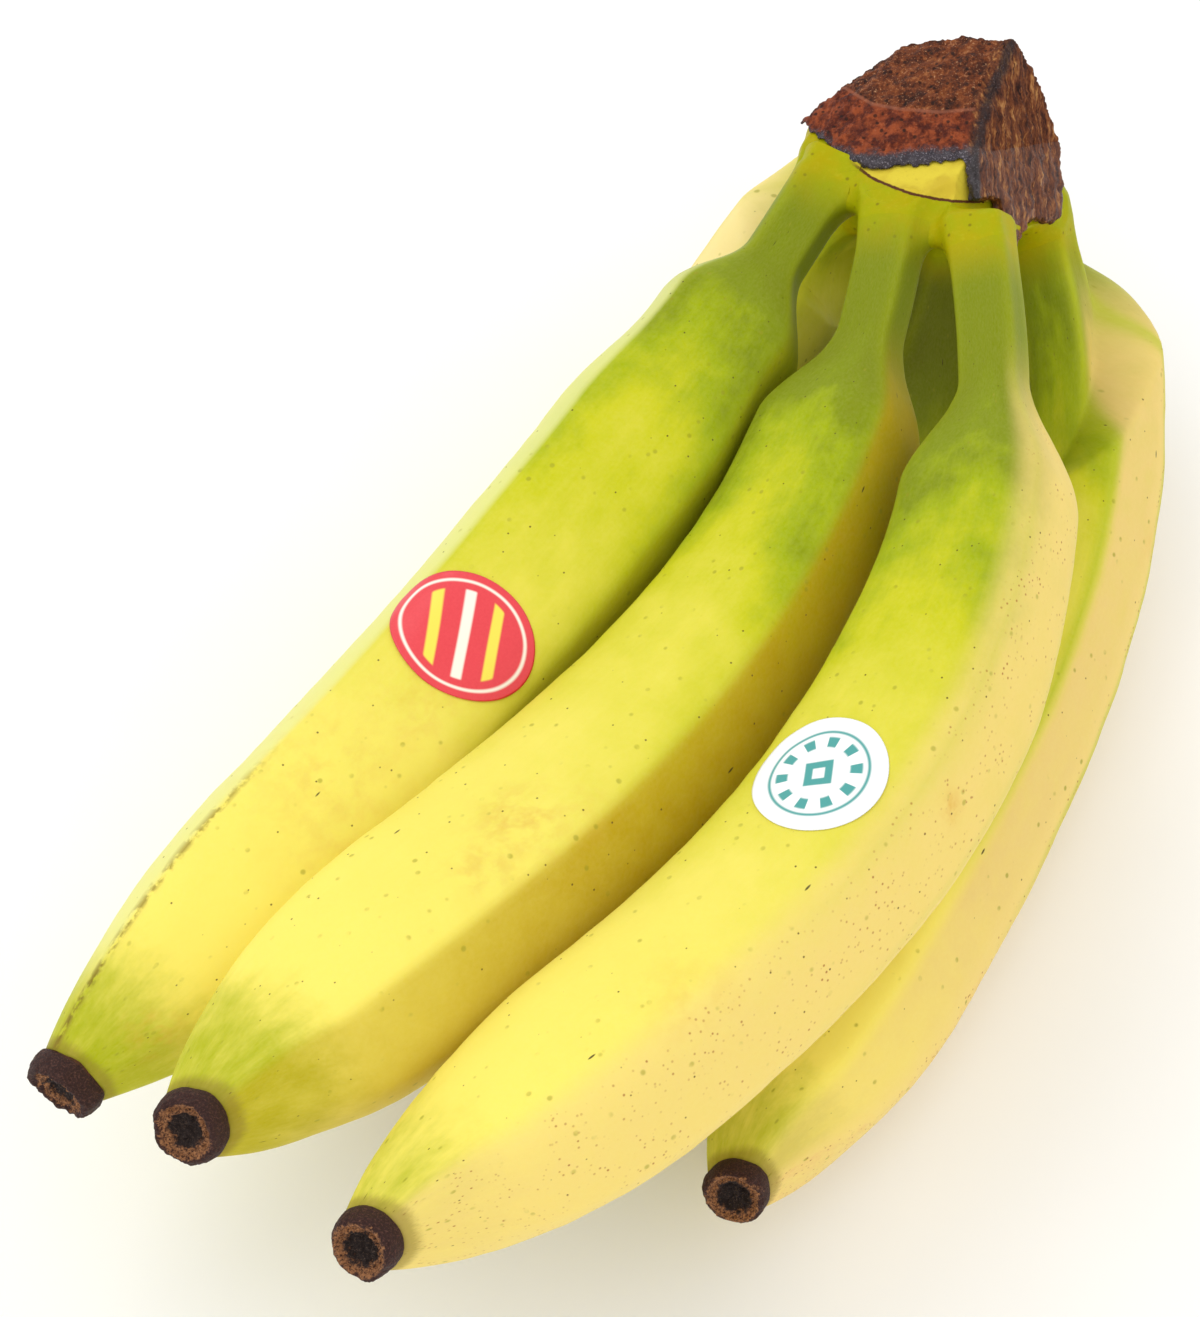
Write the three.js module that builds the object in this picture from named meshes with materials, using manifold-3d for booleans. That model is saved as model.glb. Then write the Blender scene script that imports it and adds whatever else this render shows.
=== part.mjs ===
// A bunch of six bananas on one crown, lying on the bellies of its lower row.
// Millimetres, +Z up, with the surface that it lies on at z = 0. The crown is at the
// back (+Y) and the fingers reach forward and to the left, in two rows of three.
import * as THREE from "three";
import { ConvexGeometry } from "three/addons/geometries/ConvexGeometry.js";
import { mergeVertices } from "three/addons/utils/BufferGeometryUtils.js";
import Module from "manifold-3d";

// Driving dimensions, mm
const clearance = 0.3; // between two pieces that touch
const footprintCentre = new THREE.Vector2(7, -7.5); // below the middle of the bunch, seen from above

// Section of a finger: five ridges round it, as angles from the middle of its outer, convex side,
// with the faces between them slightly hollow against a circle. The fifth ridge is the inner one.
const outerRidges = [-83, -30, 30, 83];
const faceDips = [0.13, 0.055, 0.06, 0.055, 0.13];
const faceSteps = [5, 3, 3, 3, 5];
const dipRounding = 1.3;
const ringsAlong = 46;
const neckRings = 6; // of those, what reaches past the crown
const curveSteps = 400; // for measuring along a middle line
const weldDistance = 1e-4; // corners nearer than this are one

// What all fingers share. Places along a finger are shares of its length, from the crown.
const usualFinger = {
  neckRadius: 6.4,
  shoulderRadius: 15,
  bellyRadius: 18.2,
  tipRadius: 6,
  neckEnd: 0.1, // where the neck starts to widen
  shoulderAt: 0.19, // where the body has its shoulder
  bellyFrom: 0.2,
  bellyAt: 0.5,
  taperFrom: 0.74, // where the body starts to narrow towards its tip
  taperPower: 2.3,
  heel: 0, // how much sooner the outer side swells than the inner one
  innerRidge: 180, // angle of the ridge on the inner side
  roll: 0, // degrees that the ridges are turned round the length
  noseFrom: 0.88, // where the tip starts to turn to the way that its end faces
};

// Each finger's middle line: where it leaves the crown, the two points that pull
// the line into its curve, and where its tip ends. The nose is the way that its end faces.
const fingers = {
  front_left: {
    line: [[40.5, 86, 62], [4, 20.5, 51], [-39, -34.5, 46.5], [-81, -85.3, 50]],
    nose: [-0.54, -0.84, 0.02],
    shoulderRadius: 15.2, bellyAt: 0.33, tipRadius: 6.4, innerRidge: 166, roll: -3,
  },
  front_middle: {
    line: [[51.5, 73.5, 66.5], [35.8, -19.6, 47.8], [-13.5, -54, 61], [-59.5, -101.5, 67]],
    nose: [-0.37, -0.73, 0.58],
    neckRadius: 6, neckEnd: 0.12, shoulderAt: 0.23, shoulderRadius: 14.8,
    bellyAt: 0.7, bellyRadius: 19.1, taperFrom: 0.77, roll: 5,
  },
  front_right: {
    line: [[64.7, 64, 70], [72.5, -38, 69.5], [26.5, -72.5, 62], [-33, -119.5, 66]],
    nose: [-0.42, -0.74, 0.52],
    neckRadius: 6.2, neckEnd: 0.14, shoulderAt: 0.26,
    taperFrom: 0.77, tipRadius: 5.5, roll: -20,
  },
  back_left: {
    line: [[48.5, 92.5, 46], [37, 114.7, 9.6], [-16.5, -3, 14.2], [-36, -60, 18]],
    nose: [-0.2, -0.95, 0.24],
    neckEnd: 0.025, shoulderAt: 0.11, shoulderRadius: 16.8, bellyFrom: 0.1, bellyRadius: 18, heel: 0.06,
  },
  back_middle: {
    line: [[61, 84, 50], [62, 77.5, 3], [8.5, -33, 18.2], [-6, -74, 22]],
    nose: [-0.22, -0.93, 0.3],
    neckEnd: 0.06, shoulderAt: 0.2, shoulderRadius: 14, bellyFrom: 0.18, bellyRadius: 18, heel: 0.03,
  },
  back_right: {
    line: [[77, 85, 49], [101.5, 39.5, 6.5], [49.5, -37, 15], [22, -92, 24.5]],
    nose: [-0.26, -0.82, 0.51],
    neckRadius: 6.8, neckEnd: 0.14, shoulderRadius: 18, tipRadius: 5.4, heel: 0.11, roll: 28,
  },
};

// Dried flower ends on the tips: half section as radius and height above the tip, on a finger
// with the usual tip
const blossomEnd = {
  profile: [[0, 0], [5.5, 0], [5.9, 1.5], [5.5, 3.4], [4.6, 4], [3.4, 3.3], [1.6, 2.4], [0, 2.2]],
  sides: 14,
};

// Crown: a block of tissue that the necks grow from, cut across its top
const crown = {
  // corners of the cut surface, from the left tip round the front, with the crest along its middle
  cutEdge: [[35, 97, 62], [41, 87, 66.4], [46, 81, 69], [65, 80, 73]],
  crest: [[46, 97, 70], [54, 93, 72.5], [67, 92, 74.5]],
  backEdge: [[44, 103, 66], [55, 108.5, 70.5], [64, 107.5, 73], [73, 104, 75.5], [76, 103, 70]],
  // corners of the tissue below it
  shoulders: [[35, 97, 58], [37.5, 88, 60], [46, 78, 66], [65, 73, 69], [82, 84, 55], [82, 100, 58]],
  foot: [[45, 96, 44], [62, 90, 44], [80, 90, 42], [80, 102, 46], [60, 108, 50], [44, 107, 52]],
  seamNormal: [-0.2, 0.21, 0.96], // of the plane between the dried cut and the fresh tissue
  seamPoint: [46, 80, 68],
  stubLength: 11, // of each neck's root, sunk into the block
};

// Torn fibrous side of the crown: an outline in its own plane, with a strip that hangs down
const tornSide = {
  corner: [65, 80, 72],
  facing: [0.68, -0.25, 0.68],
  rise: [-0.07, 0.91, 0.41],
  outline: [
    [-2, -1], [-2.8, -8.4], [4, -7], [4.5, -9], [5.3, -12.6], [6.4, -14.8], [7.8, -15.2],
    [9.5, -13.3], [11.6, -10], [15.3, -9.2], [19.4, -9], [21, -8], [22, -2], [22.3, 3.7],
    [20.8, 8.8], [17.8, 16.7], [12.9, 22.5], [11.1, 23.5], [9.4, 22.8],
  ],
  thickness: 2.6,
  sunk: 1,
  reach: 12, // past the slab's outer face, to where no tissue is left
};

// Paper stickers: where the middle lies, and half sizes along and across the finger
const stickers = {
  sticker_red_oval: {
    finger: "front_left", along: 0.56, around: 127, halfLength: 10.7, halfWidth: 11.8,
  },
  sticker_white_round: {
    finger: "front_right", along: 0.555, around: 114, halfLength: 11.5, halfWidth: 10.3,
  },
};
const stickerLift = 0.6; // clear of the flat facets below it
const stickerThickness = 0.5;
const stickerSpokes = 24;
const stickerRings = [0.12, 0.35, 0.6, 0.8, 1];

// Finishes
const skins = {
  front_left: "#d8d63a",
  front_middle: "#dcd944",
  front_right: "#e2de50",
  back_left: "#dcc860",
  back_middle: "#cdbf3c",
  back_right: "#d9c850",
};
const skinFinish = (colour) =>
  new THREE.MeshStandardMaterial({ color: colour, roughness: 0.42, metalness: 0 });
const cushionFinish = new THREE.MeshStandardMaterial({ color: "#b3bb2c", roughness: 0.5, metalness: 0 });
const driedFinish = new THREE.MeshStandardMaterial({ color: "#5e2e20", roughness: 0.75, metalness: 0 });
const blossomFinish = new THREE.MeshStandardMaterial({ color: "#3a2420", roughness: 0.85, metalness: 0 });
const stickerFinishes = {
  sticker_red_oval: new THREE.MeshStandardMaterial({ color: "#e5343c", roughness: 0.35, metalness: 0 }),
  sticker_white_round: new THREE.MeshStandardMaterial({ color: "#f7f8f6", roughness: 0.4, metalness: 0 }),
};

const wasm = await Module();
wasm.setup();

const vector = (p) => new THREE.Vector3(...p);
const radians = THREE.MathUtils.degToRad;

// A geometry with shared vertices merged and faces without area left out
function welded(geometry) {
  const bare = geometry.clone();
  bare.deleteAttribute("normal");
  bare.deleteAttribute("uv");
  const merged = mergeVertices(bare, weldDistance);
  const corners = merged.index.array;
  const kept = [];
  for (let i = 0; i < corners.length; i += 3) {
    const [a, b, c] = [corners[i], corners[i + 1], corners[i + 2]];
    if (a !== b && b !== c && c !== a) kept.push(a, b, c);
  }
  merged.setIndex(kept);
  return merged;
}

function solidOf(geometry) {
  const merged = welded(geometry);
  return new wasm.Manifold(new wasm.Mesh({
    numProp: 3,
    vertProperties: new Float32Array(merged.getAttribute("position").array),
    triVerts: new Uint32Array(merged.index.array),
  }));
}

function geometryOf(solid) {
  const mesh = solid.getMesh();
  const geometry = new THREE.BufferGeometry();
  geometry.setAttribute("position", new THREE.BufferAttribute(new Float32Array(mesh.vertProperties), 3));
  geometry.setIndex(Array.from(mesh.triVerts));
  return geometry;
}

// A closed skin through rings of equal count, with a fan over each end
function skinOver(rings) {
  const count = rings[0].length;
  const middle = (ring) => ring.reduce((sum, p) => sum.add(p), new THREE.Vector3()).divideScalar(count);
  const points = [...rings.flat(), middle(rings[0]), middle(rings.at(-1))];
  const first = points.length - 2;
  const last = points.length - 1;
  const faces = [];
  for (let j = 0; j < count; j++) {
    const next = (j + 1) % count;
    for (let i = 0; i < rings.length - 1; i++) {
      const a = i * count + j;
      const b = i * count + next;
      faces.push(a, b, b + count, a, b + count, a + count);
    }
    const end = (rings.length - 1) * count;
    faces.push(first, next, j, last, end + j, end + next);
  }
  const geometry = new THREE.BufferGeometry().setFromPoints(points);
  geometry.setIndex(faces);
  return geometry;
}

// All ridges round a section, from the inner one once round to it again
const ridgesRound = (innerRidge) => [innerRidge - 360, ...outerRidges, innerRidge];

// How far the faces between the ridges lie inside a circle, at an angle in degrees
function sectionShare(angle, innerRidge) {
  const ridges = ridgesRound(innerRidge);
  const turned = THREE.MathUtils.euclideanModulo(angle - ridges[0], 360) + ridges[0];
  const face = Math.max(0, ridges.findIndex((ridge) => turned < ridge) - 1);
  const share = (turned - ridges[face]) / (ridges[face + 1] - ridges[face]);
  return 1 - faceDips[face] * Math.sin(Math.PI * THREE.MathUtils.clamp(share, 0, 1)) ** dipRounding;
}

// The angles of a section's corners: the ridges and the steps between them
function sectionAngles(innerRidge) {
  const ridges = ridgesRound(innerRidge);
  return faceSteps.flatMap((steps, face) =>
    Array.from({ length: steps }, (_, i) => THREE.MathUtils.lerp(ridges[face], ridges[face + 1], i / steps)));
}

// One finger's shape: a middle line, the side it bows to, and its surface as a function
function shapeOf(name) {
  const size = { ...usualFinger, ...fingers[name] };
  const ends = size.line.map(vector);
  const curve = new THREE.CubicBezierCurve3(...ends);
  curve.arcLengthDivisions = curveSteps;
  const length = curve.getLength();
  const bow = curve.getPointAt(0.5).sub(ends[0].clone().add(ends[3]).divideScalar(2)).normalize();

  function frameAt(along) {
    const turn = THREE.MathUtils.smoothstep(along, size.noseFrom, 1);
    const tangent = curve.getTangentAt(along).lerp(vector(size.nose).normalize(), turn).normalize();
    const outward = bow.clone().addScaledVector(tangent, -bow.dot(tangent)).normalize();
    return { centre: curve.getPointAt(along), tangent, outward, side: tangent.clone().cross(outward) };
  }
  function radiusAt(along, angle) {
    const sooner = size.heel * Math.cos(radians(angle));
    const shoulder = THREE.MathUtils.smoothstep(along + sooner, size.neckEnd, size.shoulderAt);
    const belly = THREE.MathUtils.smoothstep(along, size.bellyFrom, size.bellyAt);
    const taper = Math.max(0, (along - size.taperFrom) / (1 - size.taperFrom)) ** size.taperPower;
    const round = size.neckRadius
      + (size.shoulderRadius - size.neckRadius) * shoulder
      + (size.bellyRadius - size.shoulderRadius) * belly
      - (size.bellyRadius - size.tipRadius) * taper;
    return round * sectionShare(angle - size.roll, size.innerRidge);
  }
  // A point of the skin, lifted off it by a few tenths where something lies on it
  function surface(along, angle, lift = 0) {
    const { centre, outward, side } = frameAt(along);
    const reach = radiusAt(along, angle) + lift;
    return centre
      .addScaledVector(outward, reach * Math.cos(radians(angle)))
      .addScaledVector(side, reach * Math.sin(radians(angle)));
  }
  function ring(along, lift = 0) {
    return sectionAngles(size.innerRidge).map((angle) => surface(along, angle + size.roll, lift));
  }
  return { size, length, frameAt, surface, ring };
}

const shapes = Object.fromEntries(Object.keys(fingers).map((name) => [name, shapeOf(name)]));

function fingerGeometry(name) {
  const rings = Array.from({ length: ringsAlong }, (_, i) => shapes[name].ring(i / (ringsAlong - 1)));
  const whole = solidOf(skinOver(rings));
  // what the lower row rests on: its bellies, pressed flat by the weight above
  return geometryOf(whole.trimByPlane([0, 0, 1], 0));
}

function blossomGeometry(name) {
  const { centre, tangent } = shapes[name].frameAt(1);
  const share = shapes[name].size.tipRadius / usualFinger.tipRadius;
  const profile = blossomEnd.profile.map(([radius, height]) =>
    new THREE.Vector2(radius * share, height + clearance));
  const cap = new THREE.LatheGeometry(profile, blossomEnd.sides);
  cap.applyQuaternion(new THREE.Quaternion().setFromUnitVectors(new THREE.Vector3(0, 1, 0), tangent));
  cap.translate(centre.x, centre.y, centre.z);
  return welded(cap);
}

// A thin oval that follows the skin: out over its face in rings and back under it
function stickerGeometry({ finger, along, around, halfLength, halfWidth }) {
  const shape = shapes[finger];
  const across = shape.surface(along, around).distanceTo(shape.frameAt(along).centre);
  const oval = (share, lift) => Array.from({ length: stickerSpokes }, (_, i) => {
    const turn = (2 * Math.PI * i) / stickerSpokes;
    return shape.surface(
      along + (share * halfLength * Math.cos(turn)) / shape.length,
      around + THREE.MathUtils.radToDeg((share * halfWidth * Math.sin(turn)) / across),
      lift,
    );
  });
  const over = stickerRings.map((share) => oval(share, stickerLift + stickerThickness));
  const under = stickerRings.map((share) => oval(share, stickerLift)).reverse();
  return skinOver([...over, ...under]);
}

// The crown's cut plane, moved up or down by part of the clearance
const seamNormal = vector(crown.seamNormal).normalize();
const seamHeight = seamNormal.dot(vector(crown.seamPoint));
const halfGap = clearance / 2;

// A part of the crown, cut back round the necks where they leave it
function clearOfNecks(solid) {
  return Object.values(shapes).reduce((rest, { frameAt, ring }) => {
    const neck = Array.from({ length: neckRings }, (_, i) => ring(i / (ringsAlong - 1), clearance));
    neck[0].forEach((p) => p.addScaledVector(frameAt(0).tangent, -clearance));
    return rest.subtract(solidOf(skinOver(neck)));
  }, solid);
}

// The torn side as a slab; with room round it, it is what the tissue behind is cut back by
function tornSideSolid(room = 0) {
  const outline = new THREE.Shape(tornSide.outline.map(([across, up]) => new THREE.Vector2(across, up)));
  const facing = vector(tornSide.facing).normalize();
  const rise = vector(tornSide.rise).addScaledVector(facing, -vector(tornSide.rise).dot(facing)).normalize();
  const slab = new THREE.ExtrudeGeometry(outline, {
    depth: tornSide.thickness + (room > 0 ? tornSide.reach : 0),
    bevelEnabled: room > 0,
    bevelThickness: room,
    bevelSize: room,
    bevelSegments: 1,
  });
  slab.translate(0, 0, -tornSide.sunk);
  slab.applyMatrix4(new THREE.Matrix4()
    .makeBasis(rise.clone().cross(facing), rise, facing)
    .setPosition(vector(tornSide.corner)));
  return solidOf(slab);
}

function driedCutGeometry() {
  const corners = [...crown.cutEdge, ...crown.crest, ...crown.backEdge, ...crown.shoulders].map(vector);
  return geometryOf(clearOfNecks(solidOf(new ConvexGeometry(corners))
    .trimByPlane(seamNormal.toArray(), seamHeight + halfGap)
    .add(tornSideSolid())));
}

function cushionGeometry() {
  const corners = [...crown.cutEdge, ...crown.shoulders, ...crown.foot, ...crown.backEdge].map(vector);
  let cushion = solidOf(new ConvexGeometry(corners));
  for (const { frameAt, ring } of Object.values(shapes)) {
    const back = frameAt(0).tangent.negate();
    const root = ring(0).map((p) => p.addScaledVector(back, clearance));
    const sunk = root.map((p) => p.clone().addScaledVector(back, crown.stubLength));
    cushion = cushion.add(solidOf(new ConvexGeometry([...root, ...sunk])));
  }
  return geometryOf(clearOfNecks(cushion)
    .trimByPlane(seamNormal.clone().negate().toArray(), -seamHeight + halfGap)
    .subtract(tornSideSolid(clearance)));
}

// Each mesh has its origin at a point of its own, and is placed there
function piece(name, geometry, finish, place) {
  geometry.translate(-place.x, -place.y, -place.z);
  const mesh = new THREE.Mesh(geometry, finish);
  mesh.name = name;
  mesh.position.copy(place);
  return mesh;
}

const bunch = new THREE.Group();
for (const [name, shape] of Object.entries(shapes)) {
  const finger = new THREE.Group();
  const skin = skinFinish(skins[name]);
  finger.add(piece(`banana_${name}`, fingerGeometry(name), skin, shape.frameAt(0).centre));
  finger.add(piece(`blossom_end_${name}`, blossomGeometry(name), blossomFinish, shape.frameAt(1).centre));
  bunch.add(finger);
}
for (const [name, sticker] of Object.entries(stickers)) {
  const middle = shapes[sticker.finger].surface(sticker.along, sticker.around);
  bunch.add(piece(name, stickerGeometry(sticker), stickerFinishes[name], middle));
}
bunch.add(piece("crown_cushion", cushionGeometry(), cushionFinish, vector(crown.seamPoint)));
bunch.add(piece("crown_dried_cut", driedCutGeometry(), driedFinish, vector(crown.seamPoint)));
bunch.position.set(-footprintCentre.x, -footprintCentre.y, 0);

export default bunch;
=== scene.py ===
import math
import bpy
import bmesh
import numpy as np
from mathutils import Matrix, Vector, noise


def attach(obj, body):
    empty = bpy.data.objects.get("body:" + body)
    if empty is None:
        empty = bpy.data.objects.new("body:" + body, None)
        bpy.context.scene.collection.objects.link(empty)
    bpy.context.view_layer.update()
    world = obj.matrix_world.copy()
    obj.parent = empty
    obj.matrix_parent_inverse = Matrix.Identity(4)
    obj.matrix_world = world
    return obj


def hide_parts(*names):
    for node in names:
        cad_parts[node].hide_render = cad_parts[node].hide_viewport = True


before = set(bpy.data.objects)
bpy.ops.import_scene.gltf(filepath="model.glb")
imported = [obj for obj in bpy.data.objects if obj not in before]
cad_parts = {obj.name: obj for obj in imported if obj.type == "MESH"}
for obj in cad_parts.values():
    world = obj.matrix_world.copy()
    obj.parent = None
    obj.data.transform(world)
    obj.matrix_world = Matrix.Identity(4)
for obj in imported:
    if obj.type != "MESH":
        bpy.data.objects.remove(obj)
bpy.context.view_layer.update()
print("frame loaded")

# Lengths are in millimetres until a mesh is made. The fingers' own coordinates are
# moved by this much to stand over the frame's origin.
metresPerMm = 0.001
fromFingers = np.array([-7.0, 7.5, 0.0])

# Camera

lookFrom = {
    "target": (-7, 7.5, 36),
    "elevation": 57,
    "distance": 620,
    "lens": 100,
    "sensor": 36,
    "picture": (1200, 1317),
}


def cameraPlace(look):
    lift = math.radians(look["elevation"])
    ahead = np.array([0, math.cos(lift), -math.sin(lift)])
    above = np.array([0, math.sin(lift), math.cos(lift)])
    return np.array(look["target"]) - look["distance"] * ahead, ahead, above


eye, ahead, above = cameraPlace(lookFrom)


# Where the camera sees points, in the picture's pixels. Marks are laid on the crown with it.
def seenAt(points):
    away = points - eye
    depth = away @ ahead
    wide, high = lookFrom["picture"]
    focal = lookFrom["lens"] / lookFrom["sensor"] * high
    return np.stack([wide / 2 + focal * away[:, 0] / depth, high / 2 - focal * (away @ above) / depth], 1)


cameraData = bpy.data.cameras.new("camera")
cameraData.lens = lookFrom["lens"]
cameraData.sensor_width = lookFrom["sensor"]
cameraData.clip_start = 0.01
camera = bpy.data.objects.new("camera", cameraData)
camera.location = Vector(eye * metresPerMm)
camera.rotation_euler = (math.radians(90 - lookFrom["elevation"]), 0, 0)
bpy.context.scene.collection.objects.link(camera)
bpy.context.scene.camera = camera

# Shader maths

def fromHex(code):
    parts = [int(code[i:i + 2], 16) / 255 for i in (1, 3, 5)]
    return tuple(p / 12.92 if p <= 0.04045 else ((p + 0.055) / 1.055) ** 2.4 for p in parts) + (1.0,)


class Wire:  # a node's output, so that sums and products of outputs read as arithmetic
    def __init__(self, paint, socket):
        self.paint, self.socket = paint, socket

    def join(self, how, first, second):
        return self.paint.node("ShaderNodeMath", {"operation": how}, {0: first, 1: second})

    def __add__(self, other):
        return self.join("ADD", self, other)

    def __radd__(self, other):
        return self.join("ADD", other, self)

    def __sub__(self, other):
        return self.join("SUBTRACT", self, other)

    def __rsub__(self, other):
        return self.join("SUBTRACT", other, self)

    def __mul__(self, other):
        return self.join("MULTIPLY", self, other)

    def __rmul__(self, other):
        return self.join("MULTIPLY", other, self)

    def __pow__(self, other):
        return self.join("POWER", self, other)


class Paint:  # a material, its shader and the one method that adds nodes to it
    def __init__(self, name, **fixed):
        self.material = bpy.data.materials.new(name)
        self.material.use_nodes = True
        self.tree = self.material.node_tree
        self.shader = self.tree.nodes["Principled BSDF"]
        for socket, value in fixed.items():
            self.shader.inputs[socket.replace("_", " ")].default_value = value

    def node(self, kind, settings=None, inputs=None, output=0):
        made = self.tree.nodes.new(kind)
        for key, value in (settings or {}).items():
            if key == "stops":
                ramp = made.color_ramp
                while len(ramp.elements) < len(value):
                    ramp.elements.new(1)
                for element, (place, code) in zip(ramp.elements, value):
                    element.position, element.color = place, fromHex(code)
            else:
                setattr(made, key, value)
        for key, value in (inputs or {}).items():
            if isinstance(value, Wire):
                self.tree.links.new(value.socket, made.inputs[key])
            else:
                made.inputs[key].default_value = fromHex(value) if isinstance(value, str) else value
        return Wire(self, made.outputs[output])

    def attribute(self, name, output="Fac"):
        return self.node("ShaderNodeAttribute", {"attribute_name": name}, output=output)

    def place(self):  # where a point is, in mm
        here = self.node("ShaderNodeTexCoord", output="Object")
        return self.stretch(here, (1000, 1000, 1000))

    def stretch(self, vector, by):
        return self.node("ShaderNodeVectorMath", {"operation": "MULTIPLY"}, {0: vector, 1: by})

    def noise(self, vector, scale, detail=2.0, roughness=0.5, bend=0.0):
        return self.node("ShaderNodeTexNoise", {}, {
            "Vector": vector, "Scale": scale, "Detail": detail, "Roughness": roughness, "Distortion": bend})

    def cells(self, vector, scale, feature="F1", output="Distance", randomness=1.0):
        return self.node("ShaderNodeTexVoronoi", {"feature": feature}, {
            "Vector": vector, "Scale": scale, "Randomness": randomness}, output)

    def step(self, value, low, high):  # 0 below low, 1 above high, smooth between
        return self.node("ShaderNodeMapRange", {"interpolation_type": "SMOOTHSTEP"}, {
            "Value": value, "From Min": low, "From Max": high})

    def blend(self, share, first, second, how="MIX"):  # of two colours
        return self.node("ShaderNodeMix", {"data_type": "RGBA", "blend_type": how}, {
            0: share, 6: first, 7: second}, 2)

    def bump(self, height, distance, strength=1.0):  # distance in mm
        return self.node("ShaderNodeBump", {}, {
            "Strength": strength, "Distance": distance * metresPerMm, "Height": height})

    def set(self, socket, wire):
        self.tree.links.new(wire.socket, self.shader.inputs[socket])


# Meshes

def smoothstep(x, low, high):
    share = np.clip((x - low) / (high - low), 0, 1)
    return share * share * (3 - 2 * share)


def unit(v):
    v = np.asarray(v, float)
    return v / np.linalg.norm(v, axis=-1, keepdims=True)


# Noise at each of many points, with features of about the given size in mm
def roughnessAt(points, size, octaves=1, seed=0.0):
    spots = points / size + seed * 17.3
    if octaves == 1:
        return np.array([noise.noise(p) for p in spots])
    return np.array([noise.fractal(p, 1.0, 2.0, octaves) for p in spots])


def meshPiece(name, points, faces, paint, slot, *replaced, **attributes):
    mesh = bpy.data.meshes.new(name)
    mesh.from_pydata((points * metresPerMm).tolist(), [], faces)
    mesh.polygons.foreach_set("use_smooth", [True] * len(mesh.polygons))
    storeAttributes(mesh, attributes)
    piece = bpy.data.objects.new(name, mesh)
    bpy.context.scene.collection.objects.link(piece)
    settle(piece, paint, slot, *replaced)
    return piece


def storeAttributes(mesh, attributes):
    for key, values in attributes.items():
        values = np.asarray(values, dtype=np.float32)
        kind, field = ("FLOAT_VECTOR", "vector") if values.ndim == 2 else ("FLOAT", "value")
        mesh.attributes.new(key, kind, "POINT").data.foreach_set(field, values.ravel())


def settle(piece, paint, slot, *replaced):
    piece.data.materials.clear()
    piece.data.materials.append(paint.material)
    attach(piece, "root")
    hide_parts(*replaced)


# Faces of a grid of points that closes round its second direction, with a point at each end
def tubeFaces(rings, count):
    faces = []
    for i in range(rings - 1):
        for j in range(count):
            k = (j + 1) % count
            faces.append((i * count + j, i * count + k, (i + 1) * count + k, (i + 1) * count + j))
    first, last, end = rings * count, rings * count + 1, (rings - 1) * count
    for j in range(count):
        k = (j + 1) % count
        faces.append((first, k, j))
        faces.append((last, end + j, end + k))
    return faces


def closed(grid):  # a grid of rings as a list of points, with the middle of each end ring added
    return np.vstack([grid.reshape(-1, 3), grid[0].mean(0), grid[-1].mean(0)])


def closedValues(values):
    return np.concatenate([values.ravel(), [values[0].mean()], [values[-1].mean()]])


# Fingers

section = {
    "outerRidges": [-83, -30, 30, 83],  # angles from the middle of the outer side
    "dips": [0.13, 0.055, 0.06, 0.055, 0.13],  # how far the faces between them lie inside a circle
    "dipRounding": 1.3,
    "ridgeWidth": 5,  # degrees over which a ridge is rounded
    "neckDips": 1.5,  # how much deeper the faces are at the neck
}

usualFinger = {
    "neckRadius": 6.4, "shoulderRadius": 15, "bellyRadius": 18.2, "tipRadius": 6,
    "neckEnd": 0.1, "shoulderAt": 0.19, "bellyFrom": 0.2, "bellyAt": 0.5,
    "taperFrom": 0.74, "taperPower": 2.3, "heel": 0, "innerRidge": 180, "roll": 0, "noseFrom": 0.88,
    # looks: how much riper than usual, and the strength of each mark; two of them are painted light: the pale
    # wash is a painted highlight on the face past the inner ridge, and the darkening is a painted shade on a
    # finger deep among the others
    "ripe": 0.0, "tipGreen": 0.5, "ridgeGreen": 0.1, "lineGreen": 0.25,
    "blush": 0.0, "blushFrom": 0.5, "pale": 0.0, "freckles": 1.0, "paintedShade": 0.0, "scar": 0.0,
    # the outer faces: their colour, which on front_left and front_middle is a painted shade, darker gold on
    # the faces turned from the light, and elsewhere a tint of the skin, the share of the length where it
    # starts, how many mm it fades in over, and how many degrees it runs on past the far ridge
    "sideTintAndShade": "#c4bc14", "sideShare": 0.5, "sideFrom": 0.1, "sideSoft": 2.0, "sideBack": 0,
}

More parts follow.
